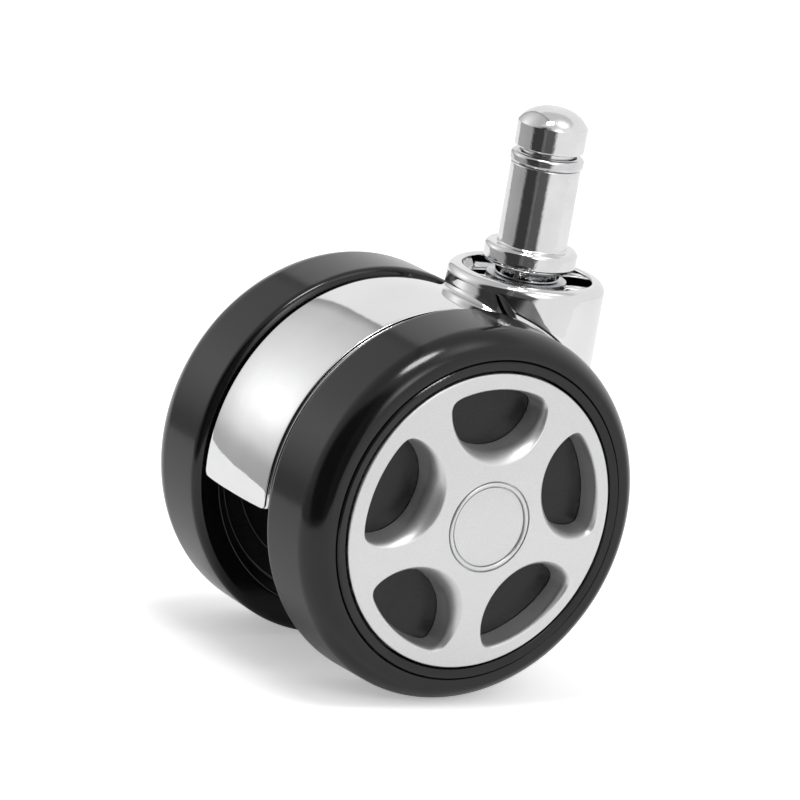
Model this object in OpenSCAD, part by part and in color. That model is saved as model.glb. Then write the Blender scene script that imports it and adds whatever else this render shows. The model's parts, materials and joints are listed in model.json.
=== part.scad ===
// Twin-wheel chair caster with a grip-ring stem.
// Millimetres. The origin is on the swivel axis, at the top of the stem's collar.
// +Z runs up the stem, the axle lies along Y, and the wheels trail towards -X.

/* [Stem] */
// Diameter of the shank that goes into the chair leg
stem_d = 11; // [10:0.1:12]
// Length of the stem above its collar
stem_len = 22; // [20:0.5:30]
// Length of the head above the ring groove
head_len = 6.5; // [5:0.1:7]
// Height of the sloping top of the head
head_slope = 2.7; // [1:0.1:3]
// Inward run of the sloping top of the head
head_run = 3.1; // [1:0.1:4]
// Share of its run and height at which the sloping top is bent outwards
head_bend = 0.35; // [0.2:0.05:0.45]
// Depth of the ring groove
groove_depth = 1.3; // [1:0.05:2]
// Chamfer on the shank below the ring groove
shank_chamfer = 0.35; // [0.1:0.05:0.6]
// How far the collar stands out from the shank
collar_out = 1.8; // [1.2:0.1:3]
// Thickness of the collar
collar_t = 3.2; // [2:0.1:4]
// Rounding of the collar's edges
collar_round = 0.9; // [0.3:0.05:1]
// How far the neck under the collar stands out from the journal
neck_out = 1.1; // [0.6:0.1:1.6]
// Length of the neck under the collar
neck_len = 1.8; // [1:0.1:3]
// Diameter of the journal that turns in the housing
journal_d = 8; // [7:0.1:9]
// How far the journal reaches past its retaining ring
journal_tail = 1.6; // [1:0.1:3]
// Chamfer on the journal's lower end
journal_chamfer = 0.6; // [0.2:0.1:1]

/* [Grip ring] */
// How far the open ring stands out from the shank
ring_out = 0.25; // [0.1:0.05:0.5]
// Radial thickness of the ring
ring_t = 1.2; // [0.8:0.05:1.3]
// Height of the ring
ring_h = 1.7; // [1:0.1:2.4]
// Free height in the groove above the ring
ring_play = 0.8; // [0.3:0.1:2]
// Height of the ring's seat above the bottom of its groove
ring_lift = 0.05; // [0.02:0.01:0.2]
// Angle of the ring's opening, in degrees
ring_open = 28; // [10:1:60]
// Direction of the ring's opening round the stem, in degrees
ring_turn = 90; // [0:5:360]

/* [Swivel bearing] */
// Wall of the bush in the housing's sleeve
bush_wall = 1; // [0.6:0.1:1.5]
// Length of the bush and of the sleeve that holds it
sleeve_len = 24.6; // [18:0.2:28]
// Radial clearance between a shaft and its bush
running_gap = 0.04; // [0.02:0.01:0.08]
// Radial clearance between a pressed piece and its seat
seat_gap = 0.02; // [0.01:0.01:0.05]
// Axial play of the stem and of each wheel
end_play = 0.1; // [0.05:0.05:0.3]
// Width of the thrust washer under the stem's neck
washer_w = 2.1; // [1.4:0.1:2.3]
// Thickness of the thrust washer
washer_t = 0.8; // [0.5:0.1:1.5]
// Radial clearance between the journal and a washer
washer_gap = 0.2; // [0.1:0.05:0.4]
// How far the retaining ring reaches past the bush, under the sleeve
circlip_lap = 0.8; // [0.4:0.1:1.2]
// Thickness of the retaining ring
circlip_t = 1; // [0.8:0.1:1.5]
// Depth of the retaining ring's groove in the journal
circlip_groove = 0.6; // [0.4:0.05:0.8]
// Angle of the retaining ring's opening, in degrees
circlip_open = 80; // [40:5:120]

/* [Housing] */
// Diameter of the round boss that carries the stem
boss_d = 24.8; // [24:0.2:28]
// How far the boss's rim lies below the collar's top
boss_drop = 4.3; // [3.4:0.1:5]
// How far the boss reaches below the journal's end
boss_tail = 2.6; // [1:0.1:4]
// Rounding of the boss's rim
boss_round = 1.5; // [0.5:0.1:2]
// Wall of the boss round its recess
boss_wall = 2.2; // [1.6:0.1:3]
// Wall of the sleeve in the middle of the recess
sleeve_wall = 1.44; // [1:0.02:2]
// Depth of the pockets between the ribs
pocket_depth = 14; // [6:0.5:18]
// Depth to which the pockets keep their full width, above the flat sides next to the wheels
pocket_ledge = 2; // [1:0.5:3]
// Thickness of the ribs that hold the sleeve
rib_t = 1.9; // [1:0.1:3]
// Angle of the ribs to the direction of travel, in degrees
rib_angle = 24; // [10:1:45]
// Space round the retaining ring in the well below the sleeve
well_gap = 1.7; // [0.6:0.1:2]
// Space between the hood and each tyre
hood_clear = 1.5; // [0.8:0.1:2.5]
// Thickness of the hood
hood_t = 2.6; // [1.5:0.1:4]
// How far the hood lies inside the tread's circle
hood_inset = 0.4; // [0:0.1:2]
// Width of the step along each edge of the hood
lip_w = 0.5; // [0.4:0.1:2]
// Depth of the step along each edge of the hood
lip_drop = 0.5; // [0.2:0.1:1.2]
// Angle of the hood's free end, from straight ahead over the top, in degrees
hood_end = 186; // [150:0.5:200]
// Thickness of the web under the hood
web_t = 6; // [3:0.2:10]
// Angle at which the web ends behind the axle, in degrees
web_end = 120; // [100:1:140]
// Wall of the hub that holds the axle
hub_wall = 3.5; // [2:0.1:5]
// Space between the boss and the tread
tread_clear = 1; // [0.6:0.1:2]

/* [Axle] */
// Distance of the axle behind the swivel axis
trail = 18.2; // [16:0.1:21]
// Depth of the axle below the collar's top
axle_drop = 37.1; // [36.5:0.1:42]
// Diameter of the axle
axle_d = 6; // [5:0.1:7]
// Chamfer on the axle's ends
axle_chamfer = 0.4; // [0.2:0.1:0.8]
// Width of the spacers beside the hub
spacer_w = 2.8; // [1.6:0.1:3.5]
// Thickness of the spacers beside the hub
spacer_t = 0.9; // [0.5:0.1:1.2]
// Wall of the push-on nuts
nut_wall = 2; // [1.2:0.1:2.4]
// Thickness of the push-on nuts
nut_t = 1.3; // [1:0.1:1.4]
// Thickness of a push-on nut's closed end
nut_end = 0.4; // [0.2:0.1:0.6]

/* [Tyres] */
// Diameter of the tread
wheel_d = 60; // [59:0.5:66]
// Width of a tyre
tyre_w = 13.4; // [12.4:0.1:16]
// Space between the two tyres
wheel_gap = 22.2; // [21.6:0.1:26]
// Width of the flat tread
tread_w = 4.6; // [2:0.1:6]
// Radius of the crown between the tread and the sidewall
crown_r = 24; // [16:0.5:40]
// Radius of the edge between the crown and the sidewall
edge_r = 1.7; // [0.8:0.1:2.4]
// Chamfer on the tyre's other edges
tyre_chamfer = 0.5; // [0.2:0.1:0.8]
// Thickness of the tyre on its rim
tyre_t = 4.4; // [3.6:0.1:6]

/* [Rims] */
// Width of the rim's front ring
rim_ring_w = 1.7; // [1:0.1:2.5]
// How far the rim's front ring lies behind the tyre's sidewall
rim_inset = 0.4; // [0.2:0.1:1]
// Depth of the disc's front below the sidewall
disc_drop = 3.5; // [2.5:0.1:4]
// Depth of the recess on the rim's inner side
back_recess = 3.4; // [1:0.1:3.8]
// Depth of the step on the rim's inner side
back_step = 1.8; // [0.5:0.1:3]
// Width of the stepped band on the rim's inner side
back_band = 3.4; // [1:0.1:8]
// Wall of the rim's hub
rim_hub_wall = 2.4; // [1.6:0.1:4]
// Depth of the front of the rim's hub below the sidewall
hub_drop = 2.3; // [1.8:0.1:3]
// Wall of the bush in the rim's hub
hub_bush_wall = 1.5; // [1:0.1:2]

/* [Covers] */
// Gap between the cover and the rim's front ring
cover_gap = 0.25; // [0.1:0.05:0.6]
// How far the cover's edge lies behind the tyre's sidewall
cover_inset = 0.35; // [0.1:0.05:1]
// Height of the cover's crown above its edge
cover_crown = 3.15; // [2.4:0.05:4]
// Wall of the cover
cover_t = 1.5; // [1:0.1:2]
// Number of windows
window_count = 5; // [3:1:6]
// Direction of the first window from straight ahead, in degrees
window_turn = 91.4; // [0:0.1:120]
// Width of the cover's band outside the windows
cover_band = 2.35; // [1.6:0.05:4]
// Distance of the windows' round middle from their outer edge
window_in = 2.65; // [1:0.05:4]
// Radius of a window's round side at its floor
window_r = 7; // [5:0.1:7.4]
// Slope of a window's round side, in degrees
window_slope = 23; // [5:1:30]
// Slope of a window's outer side, in degrees
window_outer_slope = 5; // [1:1:15]
// Radius of the circle that blunts a window's corners, at its floor
blunt_r = 8; // [7:0.1:9]
// Distance of that circle's middle from the windows' outer edge
blunt_in = 5.4; // [4:0.1:7]

/* [Hub caps] */
// Radius of the cap
cap_r = 7.3; // [6:0.1:8]
// Thickness of the cap's edge
cap_t = 0.9; // [0.6:0.1:1.2]
// Rise of the cap's middle above its edge
cap_crown = 0.3; // [0.1:0.05:0.6]
// Width of the bead round the cap
bead_w = 0.65; // [0.4:0.05:1]
// Radius of the plug behind the cap
plug_r = 4; // [3:0.1:5]
// Length of the plug behind the cap
plug_len = 1.5; // [0.8:0.1:1.6]
// Thickness of the cover's seat under the cap
cap_seat_t = 1.4; // [0.8:0.1:1.6]

/* [Hidden] */
$fn = 96;
left = 1;
right = -1;
// Overshoot of a cut past the face that it opens
cut = 0.5;

// Heights along the stem
neck_bottom = -collar_t - neck_len;
sleeve_top = neck_bottom - end_play - washer_t;
sleeve_bottom = sleeve_top - sleeve_len;
circlip_top = sleeve_bottom - end_play;
circlip_bottom = circlip_top - circlip_t;
journal_bottom = circlip_bottom - journal_tail;
head_bottom = stem_len - head_len;
ring_bottom = head_bottom - ring_play - ring_h;
shank_top = ring_bottom - ring_lift;
boss_top = -boss_drop;
boss_bottom = journal_bottom - boss_tail;

// Radii
stem_r = stem_d / 2;
collar_r = stem_r + collar_out;
journal_r = journal_d / 2;
neck_r = journal_r + neck_out;
bush_r = journal_r + running_gap + bush_wall;
circlip_in_r = journal_r - circlip_groove + seat_gap;
circlip_r = bush_r + circlip_lap;
washer_in_r = journal_r + washer_gap;
sleeve_r = bush_r + seat_gap + sleeve_wall;
boss_r = boss_d / 2;
recess_r = boss_r - boss_wall;
axle_r = axle_d / 2;
wheel_r = wheel_d / 2;
hood_r = wheel_r - hood_inset;
rim_r = wheel_r - tyre_t - seat_gap;
ring_in_r = rim_r - rim_ring_w;
hub_bush_r = axle_r + running_gap + hub_bush_wall;
rim_hub_r = hub_bush_r + seat_gap + rim_hub_wall;
cover_r = ring_in_r - cover_gap;
window_reach = cover_r - cover_band;

// Places along a wheel's axle, from the inner face of its tyre outwards
half_gap = wheel_gap / 2;
hood_w = wheel_gap - 2 * hood_clear;
hub_back = hood_w / 2 + spacer_t + end_play - half_gap;
tread_end = tyre_chamfer + tread_w;
disc_front = tyre_w - disc_drop;
hub_end = tyre_w - hub_drop;
nut_back = hub_end + end_play;
nut_front = nut_back + nut_t;
axle_end = nut_front - nut_end - seat_gap;
rim_front = tyre_w - rim_inset;
cover_edge = tyre_w - cover_inset;
cover_top = cover_edge + cover_crown;
dome_r = (cover_r * cover_r + cover_crown * cover_crown) / (2 * cover_crown);
dome_mid = cover_top - dome_r;
cap_edge = dome_mid + sqrt(dome_r * dome_r - cap_r * cap_r);
cap_seat = cap_edge - cap_t;

// Puts a wheel's piece, drawn along +Z from the tyre's inner face, at the axle on one side
module at_wheel(side) {
  mirror([0, side == left ? 1 : 0, 0])
    translate([-trail, -half_gap, -axle_drop])
      rotate([90, 0, 0])
        children();
}

// Turns a shape drawn round +Z so that it goes round the axle, with its middle at y = 0
module round_axle() {
  translate([-trail, 0, -axle_drop])
    rotate([90, 0, 0])
      children();
}

// Flat ring or tube from one height to another
module tube(outer_r, inner_r, low, high) {
  translate([0, 0, low])
    difference() {
      cylinder(r = outer_r, h = high - low);
      translate([0, 0, -cut])
        cylinder(r = inner_r, h = high - low + 2 * cut);
    }
}

// Round bar with a chamfer at both ends
module chamfered_bar(r, low, high, chamfer) {
  rotate_extrude()
    polygon([[0, low], [r - chamfer, low], [r, low + chamfer],
      [r, high - chamfer], [r - chamfer, high], [0, high]]);
}

// Half section of a disc whose outer edges are rounded
module round_edged_disc(r, low, high, rounding) {
  translate([0, low])
    square([r - rounding, high - low]);
  translate([0, low + rounding])
    square([r, high - low - 2 * rounding]);
  for (z = [low + rounding, high - rounding])
    translate([r - rounding, z])
      circle(rounding);
}

// Turned stem: head, ring groove, shank, collar, neck and journal
module stem() {
  color("gainsboro")
    difference() {
      union() {
        rotate_extrude()
          polygon([[0, head_bottom], [stem_r, head_bottom], [stem_r, stem_len - head_slope],
            [stem_r - head_bend * head_run, stem_len - head_bend * head_slope],
            [stem_r - head_run, stem_len], [0, stem_len]]);
        cylinder(r = stem_r - groove_depth, h = stem_len - head_slope);
        rotate_extrude()
          polygon([[0, -collar_round], [stem_r, -collar_round], [stem_r, shank_top - shank_chamfer],
            [stem_r - shank_chamfer, shank_top], [0, shank_top]]);
        rotate_extrude()
          round_edged_disc(collar_r, -collar_t, 0, collar_round);
        translate([0, 0, neck_bottom])
          cylinder(r = neck_r, h = neck_len + collar_round);
        chamfered_bar(journal_r, journal_bottom, neck_bottom + journal_chamfer, journal_chamfer);
      }
      tube(stem_r, journal_r - circlip_groove, circlip_bottom - seat_gap, circlip_top + seat_gap);
    }
}

// Open spring ring in the stem's groove
module grip_ring() {
  color("silver")
    rotate([0, 0, ring_turn])
      translate([0, 0, ring_bottom])
        rotate_extrude(angle = 360 - ring_open, start = ring_open / 2)
          translate([stem_r + ring_out - ring_t, 0])
            intersection() {
              square([ring_t, ring_h]);
              translate([ring_t - ring_h, ring_h / 2])
                circle(ring_h);
            }
}

// Washer between the stem's neck and the sleeve
module thrust_washer() {
  color("lightgray")
    tube(washer_in_r + washer_w, washer_in_r, sleeve_top, sleeve_top + washer_t);
}

// Bush in the sleeve
module stem_bush() {
  color("ivory")
    tube(bush_r, journal_r + running_gap, sleeve_bottom, sleeve_top);
}

// Open retaining ring under the sleeve
module stem_circlip() {
  color("dimgray")
    translate([0, 0, circlip_bottom])
      rotate_extrude(angle = 360 - circlip_open, start = circlip_open / 2)
        translate([circlip_in_r, 0])
          square([circlip_r - circlip_in_r, circlip_t]);
}

// Round boss with its rounded rim
module boss() {
  tall = boss_top - boss_bottom;
  rotate_extrude()
    translate([0, boss_bottom]) {
      square([boss_r, tall - boss_round]);
      square([boss_r - boss_round, tall]);
      translate([boss_r - boss_round, tall - boss_round])
        circle(boss_round);
    }
}

// Hood band over the space between the wheels, with a step along both edges
module hood() {
  inner = hood_r - hood_t;
  hood_start = acos(trail / hood_r);
  round_axle()
    rotate_extrude(angle = hood_end - hood_start, start = hood_start) {
      translate([inner, -hood_w / 2])
        square([hood_t - lip_drop, hood_w]);
      translate([inner, -hood_w / 2 + lip_w])
        square([hood_t, hood_w - 2 * lip_w]);
    }
}

// Web from the boss to the hub and the hood, with the hub that holds the axle
module web_and_hub() {
  span = 2 * wheel_r;
  round_axle() {
    translate([0, 0, -web_t / 2])
      linear_extrude(web_t)
        intersection() {
          circle(hood_r - hood_t / 2);
          polygon([[0, 0], [trail, boss_bottom + axle_drop], [trail, span],
            span * [cos(web_end), sin(web_end)]]);
        }
    translate([0, 0, -hood_w / 2])
      cylinder(r = axle_r + seat_gap + hub_wall, h = hood_w);
  }
}

// Pockets round the sleeve, with ribs left between them; their lower part leaves a wall at the flat sides
module boss_pockets() {
  deep_w = hood_w - 2 * boss_wall;
  translate([0, 0, sleeve_top])
    cylinder(r = recess_r, h = boss_top - sleeve_top + cut);
  difference() {
    union() {
      tube(recess_r, sleeve_r, sleeve_top - pocket_ledge, sleeve_top + cut);
      intersection() {
        tube(recess_r, sleeve_r, sleeve_top - pocket_depth, sleeve_top);
        translate([-boss_r, -deep_w / 2, sleeve_top - pocket_depth - cut])
          cube([boss_d, deep_w, pocket_depth + 2 * cut]);
      }
    }
    for (turn = [-rib_angle, rib_angle, 180 - rib_angle, 180 + rib_angle])
      rotate([0, 0, turn])
        translate([0, -rib_t / 2, sleeve_top - pocket_depth - cut])
          cube([boss_r, rib_t, pocket_depth + 3 * cut]);
  }
}

// Die-cast body that carries the stem, the axle and the hood
module housing() {
  color("whitesmoke")
    difference() {
      union() {
        boss();
        hood();
        web_and_hub();
      }
      for (side = [left, right])
        round_axle()
          translate([0, 0, side * (hood_w / 2 + boss_r) - boss_r])
            cylinder(r = wheel_r + tread_clear, h = boss_d);
      boss_pockets();
      translate([0, 0, sleeve_bottom - cut])
        cylinder(r = bush_r + seat_gap, h = sleeve_len + 2 * cut);
      translate([0, 0, boss_bottom - cut])
        cylinder(r = circlip_r + well_gap, h = sleeve_bottom - boss_bottom + cut);
      round_axle()
        translate([0, 0, -hood_w / 2 - cut])
          cylinder(r = axle_r + seat_gap, h = hood_w + 2 * cut);
    }
}

// Pin that carries both wheels
module axle() {
  color("darkgray")
    round_axle()
      chamfered_bar(axle_r, -half_gap - axle_end, half_gap + axle_end, axle_chamfer);
}

// Half section of the tyre, with a flat tread, a crown and a rounded edge to the sidewall
module tyre_section() {
  tyre_in_r = rim_r + seat_gap;
  crown_mid = [wheel_r - crown_r, tread_end];
  edge_mid_z = tyre_w - edge_r;
  edge_mid = [crown_mid[0] + sqrt(pow(crown_r - edge_r, 2) - pow(edge_mid_z - tread_end, 2)), edge_mid_z];
  outward = (edge_mid - crown_mid) / norm(edge_mid - crown_mid);
  reach = 4 * edge_r;
  difference() {
    union() {
      translate([tyre_in_r, 0])
        square([wheel_r - tyre_in_r, tread_end]);
      intersection() {
        translate([tyre_in_r, tread_end])
          square([wheel_r - tyre_in_r, tyre_w - tread_end]);
        translate(crown_mid)
          circle(crown_r, $fn = 360);
      }
    }
    polygon([edge_mid, edge_mid + reach * outward, edge_mid + reach * (outward + [0, 1]),
      edge_mid + [0, reach]]);
    polygon([[wheel_r - tyre_chamfer, 0], [wheel_r + cut, -cut], [wheel_r + cut, tyre_chamfer + cut],
      [wheel_r, tyre_chamfer]]);
    polygon([[tyre_in_r, tyre_w - tyre_chamfer], [tyre_in_r - cut, tyre_w + cut],
      [tyre_in_r + tyre_chamfer, tyre_w + cut], [tyre_in_r + tyre_chamfer, tyre_w]]);
  }
  translate(edge_mid)
    circle(edge_r);
}

module tyre(side) {
  color([0.1, 0.1, 0.11])
    at_wheel(side)
      rotate_extrude()
        tyre_section();
}

// Wheel body: barrel, front ring, disc and hub
module rim(side) {
  step_r = ring_in_r - back_band;
  chamfer = rim_inset;
  color([0.16, 0.16, 0.17])
    at_wheel(side)
      rotate_extrude()
        polygon([[hub_bush_r + seat_gap, hub_back], [rim_hub_r, hub_back],
          [rim_hub_r, back_recess], [step_r, back_recess], [step_r, back_recess - back_step],
          [ring_in_r, back_recess - back_step], [ring_in_r, tyre_chamfer], [rim_r, tyre_chamfer],
          [rim_r, rim_front - chamfer], [rim_r - chamfer, rim_front], [ring_in_r, rim_front],
          [ring_in_r, disc_front], [rim_hub_r, disc_front], [rim_hub_r, hub_end],
          [hub_bush_r + seat_gap, hub_end]]);
}

// Bush in the rim's hub
module hub_bush(side) {
  color("ivory")
    at_wheel(side)
      tube(hub_bush_r, axle_r + running_gap, hub_back, hub_end);
}

// Solid under the cover's dome, out to a radius, as far below the outside as a wall
module under_dome(r, wall) {
  rotate_extrude()
    intersection() {
      translate([0, disc_front])
        square([r, cover_top - disc_front]);
      translate([0, dome_mid])
        circle(dome_r - wall, $fn = 720);
    }
}

// One window's space, grown by a wall all round, with its round side and its outer side sloping
module window_space(wall) {
  low = disc_front - cut;
  tall = cover_top - disc_front + 2 * cut;
  flare = tan(window_slope);
  outer_flare = tan(window_outer_slope);
  intersection() {
    translate([window_reach - window_in, 0, low])
      cylinder(r1 = window_r + wall - cut * flare, r2 = window_r + wall + (tall - cut) * flare, h = tall);
    translate([window_reach - blunt_in, 0, low])
      cylinder(r1 = blunt_r + wall - cut * flare, r2 = blunt_r + wall + (tall - cut) * flare, h = tall);
    translate([0, 0, low])
      cylinder(r1 = window_reach + wall - tall * outer_flare, r2 = window_reach + wall, h = tall);
  }
}

// Front disc with its windows, a skirt round each window and a seat for the cap
module cover(side) {
  seat_back = cap_seat - cap_seat_t;
  color([0.78, 0.79, 0.8])
    at_wheel(side)
      difference() {
        under_dome(cover_r, 0);
        difference() {
          under_dome(cover_r - cover_t, cover_t);
          for (k = [0:window_count - 1])
            rotate([0, 0, window_turn + k * 360 / window_count])
              window_space(cover_t);
          translate([0, 0, seat_back])
            cylinder(r = cap_r + cover_t, h = cap_t + cap_seat_t);
        }
        for (k = [0:window_count - 1])
          rotate([0, 0, window_turn + k * 360 / window_count])
            window_space(0);
        translate([0, 0, cap_seat])
          cylinder(r = cap_r + seat_gap, h = cover_top);
        translate([0, 0, seat_back - cut])
          cylinder(r = plug_r + seat_gap, h = cap_seat_t + 2 * cut);
      }
}

// Round cap with a bead, held by its plug in the cover
module hub_cap(side) {
  face_r = cap_r - bead_w;
  face_dome_r = (face_r * face_r + cap_crown * cap_crown) / (2 * cap_crown);
  color([0.82, 0.83, 0.84])
    at_wheel(side) {
      translate([0, 0, cap_seat])
        cylinder(r = cap_r, h = cap_t);
      translate([0, 0, cap_seat - plug_len])
        cylinder(r = plug_r, h = plug_len + cap_t);
      rotate_extrude()
        intersection() {
          translate([0, cap_edge - cap_t / 2])
            square([face_r, cap_t]);
          translate([0, cap_edge + cap_crown - face_dome_r])
            circle(face_dome_r, $fn = 720);
        }
      rotate_extrude()
        translate([cap_r - bead_w / 2, cap_edge])
          circle(bead_w / 2);
    }
}

// Push-on nut over the end of the axle
module push_nut(side) {
  color("darkgray")
    at_wheel(side)
      difference() {
        translate([0, 0, nut_back])
          cylinder(r = axle_r + nut_wall, h = nut_t);
        translate([0, 0, nut_back - cut])
          cylinder(r = axle_r + seat_gap, h = axle_end + seat_gap - nut_back + cut);
      }
}

// Washer between the housing's hub and the wheel
module spacer(side) {
  color("lightgray")
    at_wheel(side)
      tube(axle_r + spacer_w, axle_r + seat_gap, hub_back - end_play - spacer_t, hub_back - end_play);
}

stem();
grip_ring();
thrust_washer();
stem_bush();
stem_circlip();
housing();
axle();
tyre(left);  // left_tyre
rim(left);  // left_rim
cover(left);  // left_cover
hub_cap(left);  // left_hub_cap
hub_bush(left);  // left_hub_bush
push_nut(left);  // left_push_nut
spacer(left);  // left_spacer
tyre(right);  // right_tyre
rim(right);  // right_rim
cover(right);  // right_cover
hub_cap(right);  // right_hub_cap
hub_bush(right);  // right_hub_bush
push_nut(right);  // right_push_nut
spacer(right);  // right_spacer
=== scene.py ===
import json
import math

import bmesh
import bpy
import numpy as np
from mathutils import Matrix, Vector


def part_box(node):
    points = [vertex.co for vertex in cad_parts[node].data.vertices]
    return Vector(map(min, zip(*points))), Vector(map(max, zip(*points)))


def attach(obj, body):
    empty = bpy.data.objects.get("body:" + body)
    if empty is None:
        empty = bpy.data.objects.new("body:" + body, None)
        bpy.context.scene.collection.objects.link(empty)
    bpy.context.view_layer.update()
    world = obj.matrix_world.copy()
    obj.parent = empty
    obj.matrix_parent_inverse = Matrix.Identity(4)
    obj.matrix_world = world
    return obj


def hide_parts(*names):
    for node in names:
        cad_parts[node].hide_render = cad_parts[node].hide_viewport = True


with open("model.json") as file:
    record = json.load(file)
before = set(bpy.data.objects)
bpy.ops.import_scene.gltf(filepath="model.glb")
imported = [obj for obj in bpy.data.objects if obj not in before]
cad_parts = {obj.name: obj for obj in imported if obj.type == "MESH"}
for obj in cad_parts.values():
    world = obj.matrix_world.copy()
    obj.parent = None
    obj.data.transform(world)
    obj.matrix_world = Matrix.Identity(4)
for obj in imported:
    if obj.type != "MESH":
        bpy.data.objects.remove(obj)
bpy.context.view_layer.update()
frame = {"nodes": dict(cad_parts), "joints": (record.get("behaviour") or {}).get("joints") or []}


# Housing: a zinc die casting, polished and chrome plated. The hood band, the round boss with its ribbed
# recess, the web and the hub for the axle are cast in one; the stem and the wheels are fitted to it.
MM = 0.001
axle_x, _, axle_z = np.array([joint["pos_m"] for joint in frame["joints"]
                              if joint["name"] == "right_wheel_spin"][0]) / MM

hood_r = 29.6
hood_t = 2.6
hood_half = 9.4
hood_end_half = 9.1
hood_start = 64.2
hood_end = 186.0
hood_taper_from = 120.0
hood_crown = 0.45
crown_power = 2.5
hood_edge = 0.3
hood_edge_rows = 6
hood_corner = 1.0
lip_w = 0.45
lip_drop = 0.5

boss_r = 12.4
boss_top = -4.3
boss_bottom = -35.8
boss_round = 1.5
flat_half = 9.6
recess_r = 10.2
recess_edge = 0.35
ledge_z = -6.2
pocket_floor = -12.0
tread_space_r = 30.45
hood_fillet = 1.2
flare_margin = 0.6
flare_run = 3.5
flare_least = 0.04
foot_sink = 0.05
cast_edge = 0.4
cast_edge_mid = 0.12
cast_edge_row = 0.9
core_inset = 0.05
core_drop = 0.4
ledge_edge = 0.3
flat_wall_inset = 0.2
pocket_wall = 1.4
pocket_fillet = 0.5
ring_bottom = 1.15 * pocket_floor

sleeve_r = 6.5
sleeve_bore = 5.06
sleeve_top = -5.9
sleeve_bottom = -30.5
sleeve_root = pocket_floor - 0.3
well_r = 7.54
well_chamfer = 0.2
rib_t = 1.9
rib_bite_in, rib_bite_out = 0.5, 0.6
rib_turns = (-24, 24, 156, 204)
web_half = 3.0
web_end = 120
web_foot = 0.7
web_reach = 10.0
hub_r = 6.52
hub_bore = 3.02


def rounded(corners, radii, steps=7):
    """Closed outline whose corners become arcs: each arc's middle lies on the corner's bisector, and its
    points turn evenly from the tangent point on one side to the tangent point on the other."""
    points = np.array(corners, float)
    radius = np.maximum(np.broadcast_to(np.array(radii, float), len(points)), 1e-6)[:, None]
    back = np.roll(points, 1, 0) - points
    ahead = np.roll(points, -1, 0) - points
    back /= np.linalg.norm(back, axis=1, keepdims=True)
    ahead /= np.linalg.norm(ahead, axis=1, keepdims=True)
    half = np.arccos(np.clip((back * ahead).sum(1, keepdims=True), -1, 1)) / 2
    bisector = (back + ahead) / np.linalg.norm(back + ahead, axis=1, keepdims=True)
    middle = points + bisector * radius / np.sin(half)
    first = points + back * radius / np.tan(half) - middle
    last = points + ahead * radius / np.tan(half) - middle
    bend = np.pi - 2 * half
    share = np.linspace(0, 1, steps)
    start = (np.sin((1 - share) * bend) / np.sin(bend))[..., None] * first[:, None]
    end = (np.sin(share * bend) / np.sin(bend))[..., None] * last[:, None]
    return (middle[:, None] + start + end).reshape(-1, 2)


def refined(outline, step, closed=True):
    """Outline in which each side longer than a step is cut into equal shorter sides."""
    ends = np.roll(outline, -1, 0) if closed else outline[1:]
    starts = outline if closed else outline[:-1]
    sides = ends - starts
    parts = np.maximum(np.ceil(np.linalg.norm(sides, axis=1) / step - 1e-6).astype(int), 1)
    which = np.repeat(np.arange(len(starts)), parts)
    share = (np.arange(parts.sum()) - (np.cumsum(parts) - parts)[which]) / parts[which]
    cut = starts[which] + share[:, None] * sides[which]
    return cut if closed else np.concatenate([cut, outline[-1:]])


def shell(grid, round_rows=False, round_columns=False):
    """Points and quads of a grid of points: each quad joins four neighbours, and a direction that runs
    round joins its last line to its first."""
    rows, columns = grid.shape[:2]
    row, column = np.meshgrid(np.arange(rows - (not round_rows)), np.arange(columns - (not round_columns)),
                              indexing="ij")
    below = (row + 1) % rows * columns
    beside = (column + 1) % columns
    here = row * columns
    quads = np.stack([here + column, here + beside, below + beside, below + column], -1)
    return grid.reshape(-1, 3), quads.reshape(-1, 4)


def carried_round(radius, turn, height):
    """Points round the Z axis: x is the radius times the cosine of the turn, y the radius times its sine,
    and z the height."""
    return np.stack(np.broadcast_arrays(radius * np.cos(turn), radius * np.sin(turn), height), -1)


def turned(profile, steps, closed=True):
    """Profile of radius and height carried round the Z axis in even turns."""
    turn = np.linspace(0, 2 * np.pi, steps, endpoint=False)
    return shell(carried_round(profile[:, :1], turn, profile[:, 1:]), closed, True)


def prism(outline, low, high, edge, steps=5):
    """Outline lifted from one height to another, its two rims rounded: a rim's rows turn a quarter circle
    while the outline moves in along its normals, and each end closes on the outline's middle."""
    side = np.roll(outline, -1, 0) - outline
    side /= np.linalg.norm(side, axis=1, keepdims=True)
    normal = np.stack([side[:, 1], -side[:, 0]], -1)
    normal = normal + np.roll(normal, 1, 0)
    normal /= np.linalg.norm(normal, axis=1, keepdims=True)
    centre = outline.mean(0)
    outward = np.sign((normal * (outline - centre)).sum())
    turn = np.linspace(0, np.pi / 2, steps)
    inset = np.concatenate([edge * (1 - np.sin(turn)), edge * (1 - np.cos(turn))])
    height = np.concatenate([low + edge * (1 - np.cos(turn)), high - edge * (1 - np.sin(turn))])
    rows = outline - outward * inset[:, None, None] * normal
    rows = np.concatenate([rows, np.broadcast_to(height[:, None, None], rows.shape[:2] + (1,))], -1)
    caps = np.broadcast_to(np.array([[[*centre, low]], [[*centre, high]]]), (2,) + rows.shape[1:])
    return shell(np.concatenate([caps[:1], rows, caps[1:]]), False, True)


def round_axle(part, side=1, start=0.0):
    """Shell drawn round +Z, turned to go round the axle: x stays, y becomes up, and the height above a
    start becomes the distance from the middle, to the left or to the right."""
    x, y, z = part[0].T
    return np.stack([axle_x + x, side * (start + z), axle_z + y], -1), part[1]


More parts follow.
